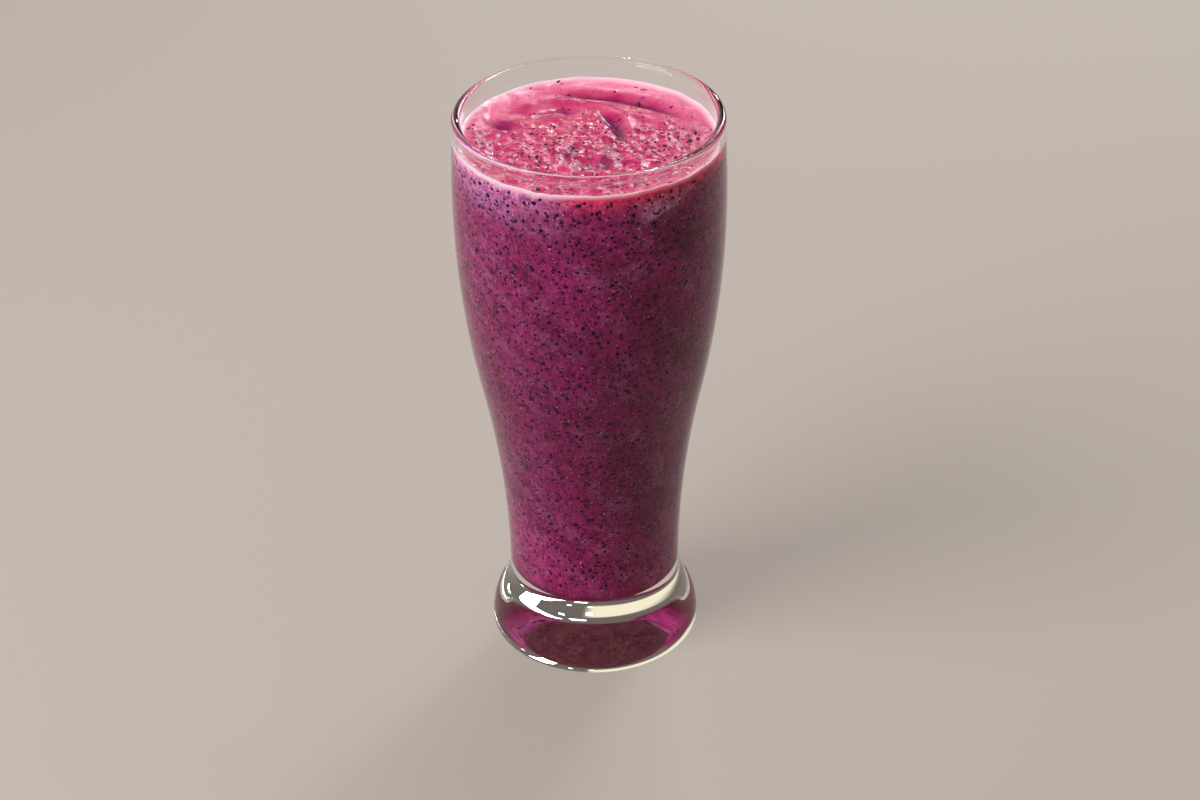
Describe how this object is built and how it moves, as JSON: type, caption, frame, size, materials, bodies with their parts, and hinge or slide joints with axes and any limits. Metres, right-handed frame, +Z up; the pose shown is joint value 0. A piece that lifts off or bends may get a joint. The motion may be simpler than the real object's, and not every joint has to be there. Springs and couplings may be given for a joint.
{
  "type": "blueberry lassi in a footed glass",
  "caption": "Tall footed tumbler of clear glass filled almost to the rim with a thick berry yogurt drink, purple at the side and pink on top, dotted with dark berry skin.",
  "frame": {"origin": "centre of the ring that the glass stands on, at the level of the table", "axes": "+Z up along the axis of the glass; -Y towards the person drinking, whose right is +X"},
  "size_m": [0.0712, 0.0712, 0.158],
  "materials": {
    "glass": "clear soda-lime glass, smooth and fire polished",
    "lassi": "wet and glossy, thick yogurt drink with specks of dark skin"
  },
  "bodies": {
    "root": {"glass": "glass", "lassi": "lassi"}
  },
  "joints": []
}
